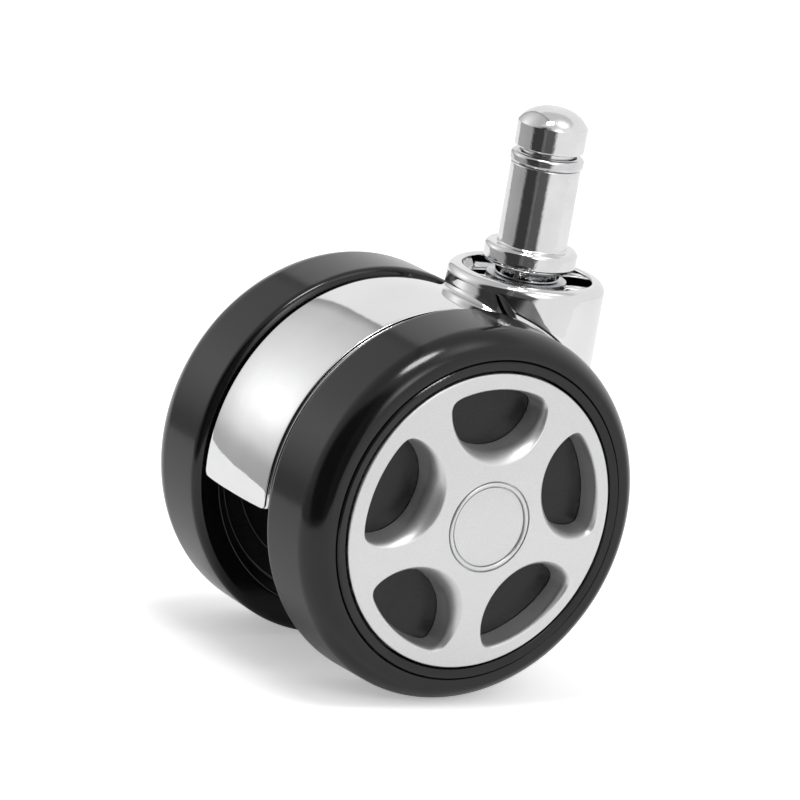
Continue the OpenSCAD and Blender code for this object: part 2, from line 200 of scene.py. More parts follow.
def make_piece(name, parts, body, nodes, sharp=40, merge_within=0.002):
    """Shells put into one mesh: points that coincide are merged, faces are turned outwards, and an edge
    that bends more than an angle stays sharp. The piece rides on its body in place of CAD nodes."""
    starts = np.cumsum([0] + [len(points) for points, _ in parts])
    points = np.concatenate([points for points, _ in parts]) * MM
    quads = np.concatenate([quad + start for (_, quad), start in zip(parts, starts)])
    mesh = bpy.data.meshes.new(name)
    mesh.vertices.add(len(points))
    mesh.vertices.foreach_set("co", points.ravel())
    mesh.loops.add(quads.size)
    mesh.loops.foreach_set("vertex_index", quads.ravel())
    mesh.polygons.add(len(quads))
    mesh.polygons.foreach_set("loop_start", np.arange(0, quads.size, 4))
    mesh.update(calc_edges=True)
    shape = bmesh.new()
    shape.from_mesh(mesh)
    bmesh.ops.remove_doubles(shape, verts=shape.verts, dist=merge_within * MM)
    bmesh.ops.recalc_face_normals(shape, faces=shape.faces)
    shape.to_mesh(mesh)
    shape.free()
    mesh.polygons.foreach_set("use_smooth", np.ones(len(mesh.polygons), bool))
    mesh.set_sharp_from_angle(angle=math.radians(sharp))
    piece = bpy.data.objects.new(name, mesh)
    bpy.context.scene.collection.objects.link(piece)
    even = piece.modifiers.new("even_shading", "WEIGHTED_NORMAL")
    even.keep_sharp = True
    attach(piece, body)
    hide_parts(*nodes)
    return piece


def hood_band():
    """Section of the hood, a plate with a stepped lip along both edges and a slight crown, carried round
    the axle. Near the free end it narrows along a quarter circle, and its last rows shrink to round the
    rim; the row at each end closes on the plate's middle."""
    inner = hood_r - hood_t
    lip_r = hood_r - lip_drop
    step = hood_half - lip_w
    section = rounded([(inner, -hood_half), (lip_r, -hood_half), (lip_r, -step), (hood_r, -step),
                       (hood_r, step), (lip_r, step), (lip_r, hood_half), (inner, hood_half)],
                      [0.3, 0.15, 0.06, 0.15, 0.15, 0.06, 0.15, 0.3])
    radius, across = refined(section, 0.5).T
    radius = radius - hood_crown * (radius - inner) / hood_t * np.abs(across / hood_half) ** crown_power
    turn = np.linspace(np.pi / 2, 0, hood_edge_rows)
    length = math.radians(hood_end - hood_start) * hood_r
    along = np.concatenate([hood_edge * (1 - np.sin(turn)),
                            hood_edge + np.linspace(0, hood_corner, 9)[1:],
                            np.linspace(hood_edge + hood_corner, length, 180)[1:]])[:, None]
    inset = np.zeros_like(along)
    inset[:hood_edge_rows, 0] = hood_edge * (1 - np.cos(turn))
    round_in = hood_corner - np.sqrt(hood_corner ** 2 - np.maximum(hood_corner - along, 0) ** 2)
    taper = np.clip(1 - along / hood_r / math.radians(hood_end - hood_taper_from), 0, 1)
    half = hood_half + taper * (hood_end_half - hood_half)
    across = across * (half - round_in - inset) / hood_half
    middle = inner + hood_t / 2
    radius = middle + (radius - middle) * (1 - 2 * inset / hood_t)
    angle = np.radians(hood_end) - along / hood_r + 0 * radius
    flat = np.full_like(radius[:1], middle)
    radius = np.concatenate([flat, radius, flat])
    across = np.concatenate([across[:1], across, across[-1:]])
    angle = np.concatenate([angle[:1], angle, angle[-1:]])
    return round_axle(shell(carried_round(radius, angle, across), False, True))


def boss_turns():
    """Turns round the stem, in four runs that meet where the boss passes the hood's edges."""
    edge = math.asin(flat_half / boss_r)
    front = np.linspace(-edge, edge, 56)
    side = np.linspace(edge, np.pi - edge, 48)
    return [front, side, front + np.pi, side + np.pi]


def to_flat_side(turn):
    """Distance from the stem's axis to the flat sides beside the wheels: half their width over the sine."""
    return flat_half / np.maximum(np.abs(np.sin(turn)), 1e-6)


def boss_ring():
    """Wall round the recess: for each turn a closed section of underside, foot, wall, rounded rim and
    recess. The foot ends at the boss's bottom in front, follows the tread's cylinder at both sides and
    flares onto the hood's cylinder behind."""
    runs = boss_turns()
    turn = np.concatenate(runs)
    kind = np.repeat([0, 1, 2, 1], [len(run) for run in runs])

    def height_on(cylinder_r, radius):
        return axle_z + np.sqrt(np.maximum(cylinder_r ** 2 - (radius * np.cos(turn) - axle_x) ** 2, 0))

    across = np.abs(boss_r * np.sin(turn))
    flare = hood_fillet * np.clip((hood_half - flare_margin - across) / flare_run, flare_least, 1)
    crowned = hood_r - hood_crown * (across / hood_half) ** crown_power
    corner_z = np.choose(kind, [boss_bottom, height_on(tread_space_r, boss_r), height_on(crowned, boss_r)])
    foot_r = np.choose(kind, [boss_r - cast_edge, boss_r - cast_edge, boss_r + flare])
    foot_z = np.choose(kind, [boss_bottom, height_on(tread_space_r, boss_r - cast_edge),
                              height_on(crowned, boss_r + flare) - foot_sink])
    wall_z = corner_z + np.choose(kind, [cast_edge, cast_edge, flare])
    under_r = np.minimum(recess_r, to_flat_side(turn) - flat_wall_inset)
    under_z = np.choose(kind, [boss_bottom, height_on(tread_space_r, recess_r), ring_bottom])
    share = np.linspace(0, 1, 8)[:, None]
    foot = [(1 - share) ** 2 * foot_r + 2 * share * (1 - share) * boss_r + share ** 2 * boss_r,
            (1 - share) ** 2 * foot_z + 2 * share * (1 - share) * corner_z + share ** 2 * wall_z]
    rise = np.linspace(0, 1, 8)[1:, None]
    wall = [boss_r + 0 * rise * turn, wall_z + rise * (boss_top - boss_round - wall_z)]
    bend = np.linspace(0, np.pi / 2, 12)[1:, None] + 0 * turn
    rim = [boss_r - boss_round + boss_round * np.cos(bend),
           boss_top - boss_round + boss_round * np.sin(bend)]
    bend = np.linspace(0, np.pi / 2, 6)[:, None] + 0 * turn
    lip = [recess_r + recess_edge - recess_edge * np.sin(bend),
           boss_top - recess_edge + recess_edge * np.cos(bend)]
    inside = [np.stack([recess_r + 0 * turn, under_r, under_r]),
              np.stack([ledge_z + 0 * turn, ledge_z - ledge_edge + 0 * turn, under_z])]
    radius = np.concatenate([foot[0], wall[0], rim[0], lip[0], inside[0]])
    height = np.concatenate([foot[1], wall[1], rim[1], lip[1], inside[1]])
    return shell(carried_round(radius, turn, height), True, True)


def boss_core():
    """Body under the recess: for each turn a closed section that reaches the boss's circle or the flat
    side beside the wheel, whichever is nearer, with the pockets' floor on top and the well below."""
    turn = np.concatenate(boss_turns())
    outer = np.minimum(boss_r - core_inset, to_flat_side(turn))
    pocket = np.minimum(recess_r + core_inset, outer - pocket_wall)
    top = ledge_z - core_drop
    bottom = boss_bottom + core_inset
    steps = [(outer, top), (outer, bottom + cast_edge_row), (outer, bottom + cast_edge),
             (outer - cast_edge_mid, bottom + cast_edge_mid), (outer - cast_edge, bottom),
             (well_r + well_chamfer, bottom), (well_r, bottom + well_chamfer), (well_r, sleeve_bottom),
             (sleeve_bore, sleeve_bottom), (sleeve_bore, pocket_floor),
             (pocket - pocket_fillet, pocket_floor), (pocket, pocket_floor + pocket_fillet), (pocket, top)]
    radius = np.stack([radius + 0 * turn for radius, _ in steps])
    height = np.stack([height + 0 * turn for _, height in steps])
    return shell(carried_round(radius, turn, height), True, True)


def sleeve_ribs():
    """Ribs from the sleeve to the boss's wall: a rounded bar's section lifted along the radius, then
    turned round the stem."""
    section = refined(rounded([(-rib_t / 2, sleeve_root), (rib_t / 2, sleeve_root), (rib_t / 2, sleeve_top),
                               (-rib_t / 2, sleeve_top)], [0.1, 0.1, 0.35, 0.35]), 0.8)
    points, quads = prism(section, sleeve_r - rib_bite_in, recess_r + rib_bite_out, 0.1)
    across, height, radius = points.T
    turns = np.radians(rib_turns)[:, None]
    x = radius * np.cos(turns) - across * np.sin(turns)
    y = radius * np.sin(turns) + across * np.cos(turns)
    ribs = np.stack(np.broadcast_arrays(x, y, height), -1)
    return [(rib, quads) for rib in ribs]


def on_circle(radius, turn):
    """Points of a circle: the radius times the cosine and the sine of each turn."""
    return radius * np.stack([np.cos(turn), np.sin(turn)], -1)


# The web's outline runs round in the hub's wall, out to a foot in the boss's wall, up to the hood and back
# along it. It ends before the stem's bore.
web_r = hood_r - hood_t / 2
web_root_r = (hub_bore + hub_r) / 2
arc = np.linspace(math.acos(web_reach / web_r), math.radians(web_end), 40)
root = np.linspace(math.radians(web_end), math.atan2(web_foot, web_reach), 24)
web_outline = np.concatenate([on_circle(web_root_r, root), [(web_reach, web_foot)], on_circle(web_r, arc)])
web = round_axle(prism(refined(web_outline, 1.0), -web_half, web_half, 0.5))
hub_section = refined(rounded([(hub_bore, -flat_half), (hub_r, -flat_half), (hub_r, flat_half),
                               (hub_bore, flat_half)], [0.2, 0.4, 0.4, 0.2]), 1.2)
hub = round_axle(turned(hub_section, 96))
sleeve_section = refined(rounded([(sleeve_bore, sleeve_root), (sleeve_r, sleeve_root),
                                  (sleeve_r, sleeve_top), (sleeve_bore, sleeve_top)],
                                 [0.05, 0.05, 0.3, 0.2]), 0.8)
sleeve = turned(sleeve_section, 96)
housing_parts = [hood_band(), boss_ring(), boss_core(), sleeve, web, hub] + sleeve_ribs()
housing = make_piece("cast_housing", housing_parts, "housing", ["housing"])


def place(tree, kind, inputs=None, **settings):
    """Adds a shader node, sets its properties, and puts a value or a link on each named input."""
    node = tree.nodes.new(kind)
    for key, value in settings.items():
        setattr(node, key, value)
    for key, value in (inputs or {}).items():
        if isinstance(value, bpy.types.NodeSocket):
            tree.links.new(value, node.inputs[key])
        else:
            node.inputs[key].default_value = value
    return node


def effect_group(name, inputs, outputs):
    """New shader group with a place in millimetres, number inputs with defaults, and number outputs."""
    tree = bpy.data.node_groups.new(name, "ShaderNodeTree")
    tree.interface.new_socket("Place", in_out="INPUT", socket_type="NodeSocketVector")
    for key, value in inputs.items():
        socket = tree.interface.new_socket(key, in_out="INPUT", socket_type="NodeSocketFloat")
        socket.default_value = value
    for key in outputs:
        tree.interface.new_socket(key, in_out="OUTPUT", socket_type="NodeSocketFloat")
    return tree, tree.nodes.new("NodeGroupInput"), tree.nodes.new("NodeGroupOutput")


# Polish: slow clouds left by the buffing wheel, fine straight hairlines along one direction, and the faint
# peel of the plating.
polish, polish_in, polish_out = effect_group("polish_marks", {"Cloud Scale": 0.08, "Hairline Scale": 1.5},
                                             ["Cloud", "Hairline", "Peel"])
cloud = place(polish, "ShaderNodeTexNoise", {"Vector": polish_in.outputs["Place"],
                                             "Scale": polish_in.outputs["Cloud Scale"], "Detail": 3.0})
stretched = place(polish, "ShaderNodeMapping", {"Vector": polish_in.outputs["Place"],
                                                "Scale": (0.05, 1.0, 0.05)})
hairline = place(polish, "ShaderNodeTexNoise", {"Vector": stretched.outputs["Vector"],
                                                "Scale": polish_in.outputs["Hairline Scale"], "Detail": 4.0})
peel = place(polish, "ShaderNodeTexNoise", {"Vector": polish_in.outputs["Place"], "Scale": 2.2,
                                            "Detail": 2.0})
polish.links.new(cloud.outputs["Fac"], polish_out.inputs["Cloud"])
polish.links.new(hairline.outputs["Fac"], polish_out.inputs["Hairline"])
polish.links.new(peel.outputs["Fac"], polish_out.inputs["Peel"])


def new_finish(name, **constants):
    """New material with its shader's constants set, and the piece's own place in millimetres."""
    material = bpy.data.materials.new(name)
    material.use_nodes = True
    tree = material.node_tree
    shader = tree.nodes["Principled BSDF"]
    for key, value in constants.items():
        shader.inputs[key.replace("_", " ")].default_value = value
    own = place(tree, "ShaderNodeTexCoord")
    scaled = place(tree, "ShaderNodeVectorMath", {0: own.outputs["Object"], "Scale": 1 / MM},
                   operation="SCALE")
    return material, tree, shader, scaled.outputs["Vector"]


def placed_group(tree, group, **inputs):
    """Puts an effect's group into a material's tree with its own values."""
    named = {key.replace("_", " "): value for key, value in inputs.items()}
    return place(tree, "ShaderNodeGroup", named, node_tree=group)


def between(tree, value, low, high, start=0.3, end=0.7):
    """Maps a pattern's value onto a range, for a socket that takes a number."""
    node = place(tree, "ShaderNodeMapRange", {"Value": value, "From Min": start, "From Max": end,
                                              "To Min": low, "To Max": high})
    return node.outputs["Result"]


def blended(tree, value, first, second):
    """Colour between two colours by a pattern's value."""
    share = between(tree, value, 0.0, 1.0)
    node = place(tree, "ShaderNodeMix", {"Factor": share, "A": (*first, 1), "B": (*second, 1)},
                 data_type="RGBA")
    return node.outputs["Result"]


def bumped(tree, shader, height, depth):
    """Lets a pattern's value stand out of the surface by a depth in millimetres."""
    node = place(tree, "ShaderNodeBump", {"Height": height, "Distance": depth * MM, "Strength": 1.0})
    tree.links.new(node.outputs["Normal"], shader.inputs["Normal"])


chrome, tree, shader, where = new_finish("polished_chrome", Metallic=1.0)
marks = placed_group(tree, polish, Place=where, Cloud_Scale=0.09, Hairline_Scale=1.2)
tree.links.new(blended(tree, marks.outputs["Cloud"], (0.74, 0.74, 0.745), (0.80, 0.80, 0.80)),
               shader.inputs["Base Color"])
tree.links.new(between(tree, marks.outputs["Hairline"], 0.03, 0.07), shader.inputs["Roughness"])
bumped(tree, shader, marks.outputs["Cloud"], 0.06)
housing.data.materials.append(chrome)


# Stem bush and hub bushes: plain acetal tubes, moulded and pressed into the housing's sleeve and into
# the rims' hubs. The stem and the axle turn in them. Natural white, slightly waxy.
grain, grain_in, grain_out = effect_group("moulded_grain", {"Grain Scale": 4.0, "Tone Scale": 0.15},
                                          ["Tone", "Grain"])
tone = place(grain, "ShaderNodeTexNoise", {"Vector": grain_in.outputs["Place"],
                                           "Scale": grain_in.outputs["Tone Scale"], "Detail": 3.0})
pits = place(grain, "ShaderNodeTexNoise", {"Vector": grain_in.outputs["Place"],
                                           "Scale": grain_in.outputs["Grain Scale"], "Detail": 5.0,
                                           "Roughness": 0.65})
grain.links.new(tone.outputs["Fac"], grain_out.inputs["Tone"])
grain.links.new(pits.outputs["Fac"], grain_out.inputs["Grain"])

acetal, tree, shader, where = new_finish("natural_acetal", IOR=1.48)
marks = placed_group(tree, grain, Place=where, Grain_Scale=5.0, Tone_Scale=0.3)
tree.links.new(blended(tree, marks.outputs["Tone"], (0.78, 0.76, 0.69), (0.86, 0.84, 0.78)),
               shader.inputs["Base Color"])
tree.links.new(between(tree, marks.outputs["Grain"], 0.34, 0.48), shader.inputs["Roughness"])
bumped(tree, shader, marks.outputs["Grain"], 0.01)


def dress(nodes, material):
    """Gives CAD nodes that are shown as they are a finish of this script."""
    for name in nodes:
        slots = frame["nodes"][name].data.materials
        slots.clear()
        slots.append(material)


dress(["stem_bush", "left_hub_bush", "right_hub_bush"], acetal)


# Thrust washer, spacers and axle: zinc-plated steel, stamped or cut from bar. The washer takes the load
# between the stem's neck and the sleeve; the spacers keep the wheels off the housing's hub.
zinc, tree, shader, where = new_finish("zinc_plate", Metallic=1.0)
marks = placed_group(tree, grain, Place=where, Grain_Scale=3.0, Tone_Scale=0.4)
tree.links.new(blended(tree, marks.outputs["Tone"], (0.56, 0.57, 0.60), (0.70, 0.70, 0.72)),
               shader.inputs["Base Color"])
tree.links.new(between(tree, marks.outputs["Grain"], 0.20, 0.36), shader.inputs["Roughness"])
bumped(tree, shader, marks.outputs["Grain"], 0.006)
dress(["thrust_washer", "axle", "left_spacer", "right_spacer"], zinc)


# Stem: turned from steel bar and chrome plated. Its head leads into the chair leg's socket, the groove
# carries the grip ring, the collar stops it, and the journal turns in the housing's bush.
stem_top = 22
head_curve = [(0.6, stem_top), (3.1, stem_top), (4.7, 20.8), (5.5, 19.4)]
stem_corners = [
    (5.5, 19.4), (5.5, 15.5), (4.2, 15.5), (4.2, 12.95), (5.5, 12.95), (5.5, 0),
    (7.3, 0), (7.3, -3.2), (5.1, -3.2), (5.1, -5.0), (4.0, -5.0), (4.0, -30.58), (3.4, -30.58),
    (3.4, -31.62), (4.0, -31.62), (4.0, -33.2), (0, -33.2)]
stem_radii = [0.2, 0.3, 0.2, 0.2, 0.3, 0.3, 0.85, 0.85, 0.2, 0.2, 0.1, 0.05, 0.05, 0.05, 0.05, 0.5, 0]
stem_arc_steps = 15


def cubic(points, steps):
    """Points along a cubic curve: the four given points weighted by the powers of the share covered and of
    the share left."""
    share = np.linspace(0, 1, steps)[:, None]
    weights = np.concatenate([(1 - share) ** 3, 3 * share * (1 - share) ** 2, 3 * share ** 2 * (1 - share),
                              share ** 3], 1)
    return weights @ np.array(points, float)


head = np.concatenate([[(0, stem_top)], cubic(head_curve, 40)[:-3]])
below_head = rounded([head[-1]] + stem_corners, [0] + stem_radii, stem_arc_steps)[stem_arc_steps:]
stem_profile = refined(np.concatenate([head, below_head]), 0.6, closed=False)
stem = make_piece("turned_stem", [turned(stem_profile, 144, closed=False)], "stem", ["stem"])

# Lathe marks: rings round the stem whose spacing wanders a little.
rings, rings_in, rings_out = effect_group("turning_rings", {"Pitch": 0.2}, ["Ring"])
split = place(rings, "ShaderNodeSeparateXYZ", {"Vector": rings_in.outputs["Place"]})
wander = place(rings, "ShaderNodeTexNoise", {"Vector": rings_in.outputs["Place"], "Scale": 0.35,
                                             "Detail": 2.0})
shifted = place(rings, "ShaderNodeMath", {0: wander.outputs["Fac"], 1: 0.25, 2: split.outputs["Z"]},
                operation="MULTIPLY_ADD")
count = place(rings, "ShaderNodeMath", {0: shifted.outputs["Value"], 1: rings_in.outputs["Pitch"]},
              operation="DIVIDE")
feed = place(rings, "ShaderNodeTexNoise", {"W": count.outputs["Value"], "Scale": 1.0, "Detail": 2.0},
             noise_dimensions="1D")
rings.links.new(feed.outputs["Fac"], rings_out.inputs["Ring"])

stem_chrome, tree, shader, where = new_finish("turned_chrome", Metallic=1.0)
marks = placed_group(tree, polish, Place=where, Cloud_Scale=0.2, Hairline_Scale=2.0)
lathe = placed_group(tree, rings, Place=where, Pitch=0.35)
tree.links.new(blended(tree, marks.outputs["Cloud"], (0.72, 0.72, 0.725), (0.80, 0.80, 0.80)),
               shader.inputs["Base Color"])
tree.links.new(between(tree, lathe.outputs["Ring"], 0.03, 0.09), shader.inputs["Roughness"])
bumped(tree, shader, marks.outputs["Peel"], 0.014)
stem.data.materials.append(stem_chrome)


# Grip ring: an open ring of bright spring steel in the stem's groove. It is rolled from wire with a
# rounded outer side, stands a little out of the shank and is squeezed by the socket.
ring_in, ring_out = 4.55, 5.75
ring_low, ring_high = 13.0, 14.7
ring_turn, ring_open = 90, 28
ring_rows = 130
ring_end_size = 0.86
ring_section = refined(rounded([(ring_in, ring_low), (ring_out, ring_low), (ring_out, ring_high),
                                (ring_in, ring_high)], [0.15, 0.45, 0.6, 0.15]), 0.3)
turn = np.radians(ring_turn + np.linspace(ring_open / 2, 360 - ring_open / 2, ring_rows))[:, None]
turn[1], turn[-2] = turn[0], turn[-1]
size = np.ones((ring_rows, 1, 1))
size[[0, -1]] = 0
size[[1, -2]] = ring_end_size
ring_mid = ring_section.mean(0)
swept = ring_mid + size * (ring_section - ring_mid)
ring_grid = carried_round(swept[..., 0], turn, swept[..., 1])
grip_ring = make_piece("spring_ring", [shell(ring_grid, False, True)], "stem", ["grip_ring"])

spring_steel, tree, shader, where = new_finish("spring_steel", Metallic=1.0)
marks = placed_group(tree, polish, Place=where, Cloud_Scale=0.35, Hairline_Scale=4.0)
tree.links.new(blended(tree, marks.outputs["Cloud"], (0.62, 0.62, 0.63), (0.74, 0.74, 0.75)),
               shader.inputs["Base Color"])
tree.links.new(between(tree, marks.outputs["Hairline"], 0.08, 0.2), shader.inputs["Roughness"])
bumped(tree, shader, marks.outputs["Hairline"], 0.003)
grip_ring.data.materials.append(spring_steel)


# Circlip and push-on nuts: stamped spring steel. The circlip holds the stem in the housing, and the nuts,
# pushed over the axle's ends, hold the wheels on.
dress(["stem_circlip", "left_push_nut", "right_push_nut"], spring_steel)


# Rims: black nylon wheel bodies, injection moulded. A barrel carries the tyre, the disc is the dark floor
# of the cover's windows, and the hub takes the bush on the axle. A polished, chamfered ring stands round
# the cover, with a fine slot on both sides.
half_gap = -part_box("right_tyre")[1].y / MM
rim_corners = [
    (4.56, -0.5), (6.96, -0.5), (6.96, 3.4), (20.48, 3.4), (20.48, 1.6), (23.88, 1.6), (23.88, 0.5),
    (25.58, 0.5), (25.58, 11.4), (25.45, 11.4), (25.45, 13.05), (25.29, 13.3), (23.95, 13.05), (23.95, 9.9),
    (6.96, 9.9), (6.96, 11.1), (4.56, 11.1)]
rim_radii = [0.1, 0.3, 0.5, 0.3, 0.25, 0.3, 0.25, 0.2, 0.1, 0.03, 0.03, 0.03, 0.3, 0.3, 0.3, 0.2, 0.1]
ring_polish_r = 23.8
ring_polish_fade = 0.1
ring_polish = 0.25
rim_profile = refined(rounded(rim_corners, rim_radii), 1.0)

nylon, tree, shader, where = new_finish("black_nylon", IOR=1.4)
marks = placed_group(tree, grain, Place=where, Grain_Scale=4.0, Tone_Scale=0.12)
tree.links.new(blended(tree, marks.outputs["Tone"], (0.009, 0.009, 0.0095), (0.014, 0.014, 0.0145)),
               shader.inputs["Base Color"])
from_axle = place(tree, "ShaderNodeVectorMath", {0: where, 1: (-axle_x, 0, -axle_z)}, operation="ADD")
across = place(tree, "ShaderNodeVectorMath", {0: from_axle.outputs["Vector"], 1: (1, 0, 1)},
               operation="MULTIPLY")
radius = place(tree, "ShaderNodeVectorMath", {0: across.outputs["Vector"]}, operation="LENGTH")
polished = between(tree, radius.outputs["Value"], 1.0, ring_polish,
                   ring_polish_r - ring_polish_fade, ring_polish_r + ring_polish_fade)
rough = between(tree, marks.outputs["Grain"], 0.16, 0.30)
rough = place(tree, "ShaderNodeMath", {0: rough, 1: polished}, operation="MULTIPLY")
tree.links.new(rough.outputs["Value"], shader.inputs["Roughness"])
bumped(tree, shader, marks.outputs["Grain"], 0.012)

WHEELS = {"left": 1, "right": -1}
for wheel, side in WHEELS.items():
    rim = make_piece(f"{wheel}_wheel_body", [round_axle(turned(rim_profile, 180), side, half_gap)],
                     f"{wheel}_wheel", [f"{wheel}_rim"])
    rim.data.materials.append(nylon)


# Tyres: glossy black polyurethane, cast round the rims. From a bevelled inner edge the flat tread next to
# the housing rolls over a long crown into the flat sidewall.
tyre_r = 30.0
tyre_in_r = 25.6
tyre_low = -0.95
tyre_high = 13.0
bevel_r = 28.9
tread_start = (30.0, -0.35)
tread_end = (29.82, 8.6)
sidewall_r = 26.9
shoulder_pull = 1.9
sidewall_pull = 1.1
inner_round = 1.4
inner_steps, lip_steps = 9, 7


def tyre_outline():
    """Section of the tyre: a bevelled inner edge that rounds into a slightly tapered flat tread, a shoulder
    that bends from the tread's direction to the sidewall's along a cubic curve, and a small lip round the
    rim."""
    inner = rounded([(tyre_in_r, tyre_low), (bevel_r, tyre_low), tread_start, tread_end,
                     (tyre_in_r, tyre_high)], [0.3, 0.5, inner_round, 0, 0], inner_steps)[:3 * inner_steps]
    slope = np.array(tread_end) - tread_start
    start = np.array(tread_end)
    end = np.array((sidewall_r, tyre_high))
    knee = start + shoulder_pull * slope / np.linalg.norm(slope)
    wall = end + (sidewall_pull, 0)
    shoulder = cubic([start, knee, wall, end], 30)
    lip = rounded([(tyre_in_r, tyre_low), tread_end, (sidewall_r, tyre_high), (tyre_in_r, tyre_high)],
                  [0, 0, 0, 0.2], lip_steps)[3 * lip_steps:]
    return refined(np.concatenate([inner, shoulder, lip]), 0.6)


tyre_profile = tyre_outline()

polyurethane, tree, shader, where = new_finish("glossy_polyurethane", IOR=1.46)
marks = placed_group(tree, grain, Place=where, Grain_Scale=1.6, Tone_Scale=0.1)
tree.links.new(blended(tree, marks.outputs["Tone"], (0.003, 0.003, 0.0032), (0.005, 0.005, 0.0053)),
               shader.inputs["Base Color"])
tree.links.new(between(tree, marks.outputs["Grain"], 0.12, 0.18), shader.inputs["Roughness"])
bumped(tree, shader, marks.outputs["Tone"], 0.03)

for wheel, side in WHEELS.items():
    tyre = make_piece(f"{wheel}_tread", [round_axle(turned(tyre_profile, 240), side, half_gap)],
                      f"{wheel}_wheel", [f"{wheel}_tyre"])
    tyre.data.materials.append(polyurethane)


# Covers: thin front discs with five windows, moulded and painted satin silver, clipped into the rims.
# Each window's wall slopes in to the rim's dark disc and rolls over at the top, up to a crisp line in the
# face. The disc's outer edge is rounded and undercut.
cover_r = 23.6
cover_top = 16.2
cover_crown = 3.0
cover_floor = 10.05
cover_edge = 0.35
undercut_from = 0.1
seat_r = 7.32
seat_z = 15.0
seat_t = 1.4
plug_hole_r = 4.02
windows = 5
window_turn = 91.4
window_reach = 21.35
window_mid = 15.6
wall_slope = math.tan(math.radians(9))
round_mid, round_r = 18.63, 9.0
blunt_mid, blunt_r = 15.88, 10.55
corner_power = 14
roll_in = (0.3, 1.5)
roll_down = (0.8, 4.2)
roll_start = math.radians(25)
roll_power = 1.5
row_crowding = 0.8


def cover_height(radius):
    """Height of the cover's dome, a sphere through its top and its edge, at a radius."""
    dome_r = (cover_r ** 2 + cover_crown ** 2) / (2 * cover_crown)
    return cover_top - dome_r + np.sqrt(dome_r ** 2 - radius ** 2)


def window_way(turn, inset):
    """Distance from the window's middle to its outline: a soft least of the ways out of three circles, the
    round side, the corner circle and the outer side, whose radii shrink by an inset."""
    ways = 0
    for middle, radius in ((round_mid, round_r), (blunt_mid, blunt_r), (0.0, window_reach)):
        offset = window_mid - middle
        way = -offset * np.cos(turn) + np.sqrt((radius - inset) ** 2 - (offset * np.sin(turn)) ** 2)
        ways = ways + way ** -corner_power
    return ways ** (-1 / corner_power)


def cover_sector():
    """A fifth of the cover round one window. Rays from the window's middle reach the sector's border: the
    outer circle, the two half-way lines to the next windows, and the cap's seat. Rows run from the border
    over the dome, down the part of an ellipse that starts at a slant and is wider towards the cap, down the
    window's wall and back along the floor to the border; one strip closes the rounded, undercut outer edge,
    and one the seat."""
    half = np.pi / windows
    face_r = cover_r - cover_edge
    to_outer = math.atan2(face_r * math.sin(half), face_r * math.cos(half) - window_mid)
    to_seat = math.atan2(seat_r * math.sin(half), seat_r * math.cos(half) - window_mid)
    outer = np.linspace(-to_outer, to_outer, 61)
    line = np.linspace(to_outer, to_seat, 25)
    seat = np.linspace(to_seat, 2 * np.pi - to_seat, 19)
    outer_way = -window_mid * np.cos(outer) + np.sqrt(face_r ** 2 - (window_mid * np.sin(outer)) ** 2)
    line_way = window_mid * math.sin(half) / np.sin(line - half)
    seat_way = -window_mid * np.cos(seat) - np.sqrt(seat_r ** 2 - (window_mid * np.sin(seat)) ** 2)
    turn = np.concatenate([outer, line, seat, 2 * np.pi - line[::-1]])
    border = np.concatenate([outer_way, line_way, seat_way, line_way[::-1]])

    def radius_at(way):
        return np.hypot(window_mid + way * np.cos(turn), way * np.sin(turn))

    edge_way = window_way(turn, 0)
    edge_z = cover_height(radius_at(edge_way))
    share = np.linspace(0, 1, 20)[:, None] ** row_crowding
    dome_way = border + share * (edge_way - border)
    dome_z = cover_height(radius_at(dome_way))
    inward = ((1 - np.cos(turn)) / 2) ** roll_power
    roll_w = roll_in[0] + inward * (roll_in[1] - roll_in[0])
    roll_h = roll_down[0] + inward * (roll_down[1] - roll_down[0])
    bend = np.linspace(roll_start, np.pi / 2, 16)[1:, None]
    bend_z = edge_z - roll_h * (1 - np.cos(bend) / math.cos(roll_start))
    bend_way = window_way(turn, roll_w * (np.sin(bend) - math.sin(roll_start)) / (1 - math.sin(roll_start)))
    fall = np.linspace(0, 1, 14)[1:, None]
    wall_z = bend_z[-1] + fall * (cover_floor - bend_z[-1])
    wall_way = window_way(turn, roll_w + (bend_z[-1] - wall_z) * wall_slope)
    back = np.linspace(0, 1, 6)[1:, None]
    back_way = wall_way[-1] + back * (border - wall_way[-1])
    back_z = np.full_like(back_way, cover_floor)
    way = np.concatenate([dome_way, bend_way, wall_way, back_way])
    height = np.concatenate([dome_z, bend_z, wall_z, back_z])
    face = np.stack([window_mid + way * np.cos(turn), way * np.sin(turn), height], -1)

    def strip(angles, ways, radii, heights):
        x, y = window_mid + ways * np.cos(angles), ways * np.sin(angles)
        around = np.arctan2(y, x)
        return carried_round(np.array(radii)[:, None], around, np.array(heights)[:, None])

    rim_z = float(cover_height(np.array(face_r)))
    quarter = np.linspace(0, np.pi / 2, 6)
    under_z = rim_z - cover_edge - undercut_from
    outer_strip = strip(outer, outer_way,
                        [*(face_r + cover_edge * np.sin(quarter)), cover_r, face_r, face_r],
                        [*(rim_z - cover_edge * (1 - np.cos(quarter))), under_z, under_z - cover_edge,
                         cover_floor])
    top_z = float(cover_height(np.array(seat_r)))
    seat_strip = strip(seat, seat_way, [seat_r, seat_r, plug_hole_r, plug_hole_r, seat_r, seat_r],
                       [top_z, seat_z, seat_z, seat_z - seat_t, seat_z - seat_t, cover_floor])
    return [shell(face, False, True), shell(outer_strip), shell(seat_strip)]


def about_axle(part, turn):
    """Shell turned about +Z by an angle: x and y are mixed by its cosine and sine, and z stays."""
    x, y, z = part[0].T
    points = np.stack([x * np.cos(turn) - y * np.sin(turn), x * np.sin(turn) + y * np.cos(turn), z], -1)
    return points, part[1]


